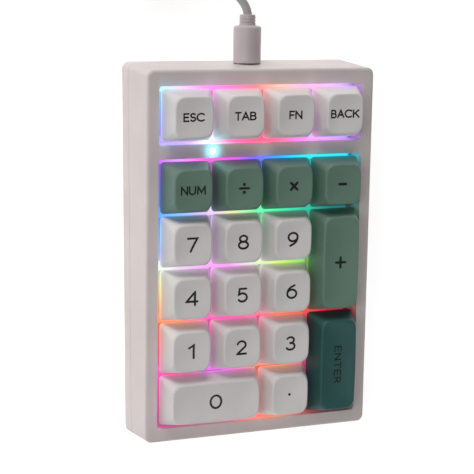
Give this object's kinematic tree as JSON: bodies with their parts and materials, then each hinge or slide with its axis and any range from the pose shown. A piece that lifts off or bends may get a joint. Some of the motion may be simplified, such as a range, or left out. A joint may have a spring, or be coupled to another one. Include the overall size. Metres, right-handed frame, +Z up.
{
  "type": "numeric keypad",
  "caption": "Backlit mechanical numeric keypad with tall uniform keycaps in a deep tilted case, with a function row above a divider bar and a detachable USB-C cable.",
  "frame": {"origin": "on the desk, below the middle of the case's base, without the cable", "axes": "+X to the keypad's right, +Y towards the cable side and the function row, +Z up from the desk"},
  "size_m": [0.1329, 0.2273, 0.0348],
  "materials": {
    "case_plastic": "fine satin moulded plastic, warm white with a faint pink cast",
    "keycap_white": "satin PBT, off-white, near-black printed legends",
    "keycap_green": "satin PBT, grey-green, near-black printed legends",
    "keycap_teal": "satin PBT, deep teal, near-black printed legend",
    "switch_stem": "smooth moulded acetal, yellow",
    "switch_housing": "milky translucent moulded plastic",
    "switch_plate": "satin white powder coat on steel",
    "circuit_board": "white solder mask",
    "foam": "dark closed-cell foam",
    "rubber": "matt grey silicone rubber",
    "screw_steel": "nickel-plated steel",
    "plug_metal": "nickel-plated drawn steel",
    "indicator": "clear light pipe, lit cyan-white",
    "cable_plastic": "satin light grey cable jacket and moulded grips"
  },
  "bodies": {
    "case": {"top_case": "case_plastic", "bottom_case": "case_plastic", "switch_plate": "switch_plate", "pcb": "circuit_board", "case_foam": "foam", "switch_housings": "switch_housing", "usb_socket": "plug_metal", "indicator_lens": "indicator", "front_foot": "rubber", "rear_foot": "rubber", "screw_left": "screw_steel", "screw_right": "screw_steel"},
    "key_esc": {"keycap_esc": "keycap_white", "stem_esc": "switch_stem"},
    "key_tab": {"keycap_tab": "keycap_white", "stem_tab": "switch_stem"},
    "key_fn": {"keycap_fn": "keycap_white", "stem_fn": "switch_stem"},
    "key_back": {"keycap_back": "keycap_white", "stem_back": "switch_stem"},
    "key_num": {"keycap_num": "keycap_green", "stem_num": "switch_stem"},
    "key_divide": {"keycap_divide": "keycap_green", "stem_divide": "switch_stem"},
    "key_multiply": {"keycap_multiply": "keycap_green", "stem_multiply": "switch_stem"},
    "key_minus": {"keycap_minus": "keycap_green", "stem_minus": "switch_stem"},
    "key_7": {"keycap_7": "keycap_white", "stem_7": "switch_stem"},
    "key_8": {"keycap_8": "keycap_white", "stem_8": "switch_stem"},
    "key_9": {"keycap_9": "keycap_white", "stem_9": "switch_stem"},
    "key_plus": {"keycap_plus": "keycap_green", "stem_plus": "switch_stem"},
    "key_4": {"keycap_4": "keycap_white", "stem_4": "switch_stem"},
    "key_5": {"keycap_5": "keycap_white", "stem_5": "switch_stem"},
    "key_6": {"keycap_6": "keycap_white", "stem_6": "switch_stem"},
    "key_1": {"keycap_1": "keycap_white", "stem_1": "switch_stem"},
    "key_2": {"keycap_2": "keycap_white", "stem_2": "switch_stem"},
    "key_3": {"keycap_3": "keycap_white", "stem_3": "switch_stem"},
    "key_enter": {"keycap_enter": "keycap_teal", "stem_enter": "switch_stem"},
    "key_0": {"keycap_0": "keycap_white", "stem_0": "switch_stem"},
    "key_dot": {"keycap_dot": "keycap_white", "stem_dot": "switch_stem"},
    "cable": {"usb_c_plug_shell": "plug_metal", "usb_c_overmould": "cable_plastic", "cable_lead": "cable_plastic", "cable_coil": "cable_plastic", "usb_a_overmould": "cable_plastic", "usb_a_shell": "plug_metal"}
  },
  "joints": [
    {"name": "press_esc", "type": "slide", "parent": "case", "child": "key_esc", "axis": [0, 0.0401, -0.9992], "range_m": [0, 0.004], "stiffness_N_per_m": 80, "springref_m": -0.004},
    {"name": "press_tab", "type": "slide", "parent": "case", "child": "key_tab", "axis": [0, 0.0401, -0.9992], "range_m": [0, 0.004], "stiffness_N_per_m": 80, "springref_m": -0.004},
    {"name": "press_fn", "type": "slide", "parent": "case", "child": "key_fn", "axis": [0, 0.0401, -0.9992], "range_m": [0, 0.004], "stiffness_N_per_m": 80, "springref_m": -0.004},
    {"name": "press_back", "type": "slide", "parent": "case", "child": "key_back", "axis": [0, 0.0401, -0.9992], "range_m": [0, 0.004], "stiffness_N_per_m": 80, "springref_m": -0.004},
    {"name": "press_num", "type": "slide", "parent": "case", "child": "key_num", "axis": [0, 0.0401, -0.9992], "range_m": [0, 0.004], "stiffness_N_per_m": 80, "springref_m": -0.004},
    {"name": "press_divide", "type": "slide", "parent": "case", "child": "key_divide", "axis": [0, 0.0401, -0.9992], "range_m": [0, 0.004], "stiffness_N_per_m": 80, "springref_m": -0.004},
    {"name": "press_multiply", "type": "slide", "parent": "case", "child": "key_multiply", "axis": [0, 0.0401, -0.9992], "range_m": [0, 0.004], "stiffness_N_per_m": 80, "springref_m": -0.004},
    {"name": "press_minus", "type": "slide", "parent": "case", "child": "key_minus", "axis": [0, 0.0401, -0.9992], "range_m": [0, 0.004], "stiffness_N_per_m": 80, "springref_m": -0.004},
    {"name": "press_7", "type": "slide", "parent": "case", "child": "key_7", "axis": [0, 0.0401, -0.9992], "range_m": [0, 0.004], "stiffness_N_per_m": 80, "springref_m": -0.004},
    {"name": "press_8", "type": "slide", "parent": "case", "child": "key_8", "axis": [0, 0.0401, -0.9992], "range_m": [0, 0.004], "stiffness_N_per_m": 80, "springref_m": -0.004},
    {"name": "press_9", "type": "slide", "parent": "case", "child": "key_9", "axis": [0, 0.0401, -0.9992], "range_m": [0, 0.004], "stiffness_N_per_m": 80, "springref_m": -0.004},
    {"name": "press_plus", "type": "slide", "parent": "case", "child": "key_plus", "axis": [0, 0.0401, -0.9992], "range_m": [0, 0.004], "stiffness_N_per_m": 80, "springref_m": -0.004},
    {"name": "press_4", "type": "slide", "parent": "case", "child": "key_4", "axis": [0, 0.0401, -0.9992], "range_m": [0, 0.004], "stiffness_N_per_m": 80, "springref_m": -0.004},
    {"name": "press_5", "type": "slide", "parent": "case", "child": "key_5", "axis": [0, 0.0401, -0.9992], "range_m": [0, 0.004], "stiffness_N_per_m": 80, "springref_m": -0.004},
    {"name": "press_6", "type": "slide", "parent": "case", "child": "key_6", "axis": [0, 0.0401, -0.9992], "range_m": [0, 0.004], "stiffness_N_per_m": 80, "springref_m": -0.004},
    {"name": "press_1", "type": "slide", "parent": "case", "child": "key_1", "axis": [0, 0.0401, -0.9992], "range_m": [0, 0.004], "stiffness_N_per_m": 80, "springref_m": -0.004},
    {"name": "press_2", "type": "slide", "parent": "case", "child": "key_2", "axis": [0, 0.0401, -0.9992], "range_m": [0, 0.004], "stiffness_N_per_m": 80, "springref_m": -0.004},
    {"name": "press_3", "type": "slide", "parent": "case", "child": "key_3", "axis": [0, 0.0401, -0.9992], "range_m": [0, 0.004], "stiffness_N_per_m": 80, "springref_m": -0.004},
    {"name": "press_enter", "type": "slide", "parent": "case", "child": "key_enter", "axis": [0, 0.0401, -0.9992], "range_m": [0, 0.004], "stiffness_N_per_m": 80, "springref_m": -0.004},
    {"name": "press_0", "type": "slide", "parent": "case", "child": "key_0", "axis": [0, 0.0401, -0.9992], "range_m": [0, 0.004], "stiffness_N_per_m": 80, "springref_m": -0.004},
    {"name": "press_dot", "type": "slide", "parent": "case", "child": "key_dot", "axis": [0, 0.0401, -0.9992], "range_m": [0, 0.004], "stiffness_N_per_m": 80, "springref_m": -0.004},
    {"name": "unplug_cable", "type": "slide", "parent": "case", "child": "cable", "axis": [0, 0.9992, 0.0401], "range_m": [0, 0.009]}
  ]
}
